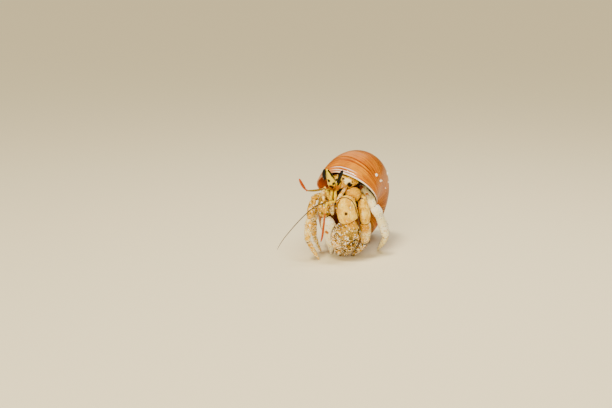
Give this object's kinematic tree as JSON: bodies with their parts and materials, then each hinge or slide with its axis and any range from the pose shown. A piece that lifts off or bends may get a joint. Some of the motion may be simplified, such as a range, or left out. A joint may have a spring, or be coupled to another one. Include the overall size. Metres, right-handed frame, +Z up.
{
  "type": "land hermit crab",
  "caption": "Still, life-size land hermit crab standing on its claws and leg tips, facing forward from the mouth of a round amber snail shell that rests on the floor",
  "frame": {"origin": "on the floor, inside the small flat on which the shell rests", "axes": "+Z is up, -Y is the way the crab's mouth and claws face, a little towards -X, and +X is the side of the large left claw"},
  "size_m": [0.0382, 0.042, 0.0341],
  "materials": {
    "shell": "polished snail shell, amber brown",
    "cornea": "glossy black cornea",
    "eyestalk": "smooth horn, yellow and brown",
    "antennule": "smooth horn, orange",
    "antenna": "fine ringed horn, brown",
    "face": "smooth horn, golden",
    "plate": "grainy limey plate, tan",
    "pale_plate": "grainy limey plate, cream",
    "soft_skin": "soft brown skin"
  },
  "bodies": {
    "root": {"abdomen": "soft_skin", "antenna_left_stalk": "face", "antenna_left_whip": "antenna", "antenna_right_stalk": "face", "antenna_right_whip": "antenna", "antennule_left_stalk": "face", "antennule_left_whip": "antennule", "antennule_right_stalk": "face", "antennule_right_whip": "antennule", "carapace_shield": "plate", "claw_left_carpus": "plate", "claw_left_dactyl": "plate", "claw_left_merus": "plate", "claw_left_palm": "plate", "claw_right_carpus": "plate", "claw_right_dactyl": "pale_plate", "claw_right_merus": "plate", "claw_right_palm": "pale_plate", "eye_left": "cornea", "eye_right": "cornea", "eyestalk_left": "eyestalk", "eyestalk_right": "eyestalk", "leg2_left_carpus": "plate", "leg2_left_dactyl": "plate", "leg2_left_merus": "plate", "leg2_left_propodus": "plate", "leg2_right_carpus": "plate", "leg2_right_dactyl": "plate", "leg2_right_merus": "plate", "leg2_right_propodus": "plate", "leg3_left_carpus": "pale_plate", "leg3_left_dactyl": "pale_plate", "leg3_left_merus": "pale_plate", "leg3_left_propodus": "pale_plate", "leg3_right_carpus": "plate", "leg3_right_dactyl": "plate", "leg3_right_merus": "plate", "leg3_right_propodus": "plate", "leg4_left": "plate", "leg4_right": "plate", "mouthpart_left": "pale_plate", "mouthpart_right": "pale_plate", "snail_shell": "shell", "thorax": "soft_skin"}
  },
  "joints": []
}
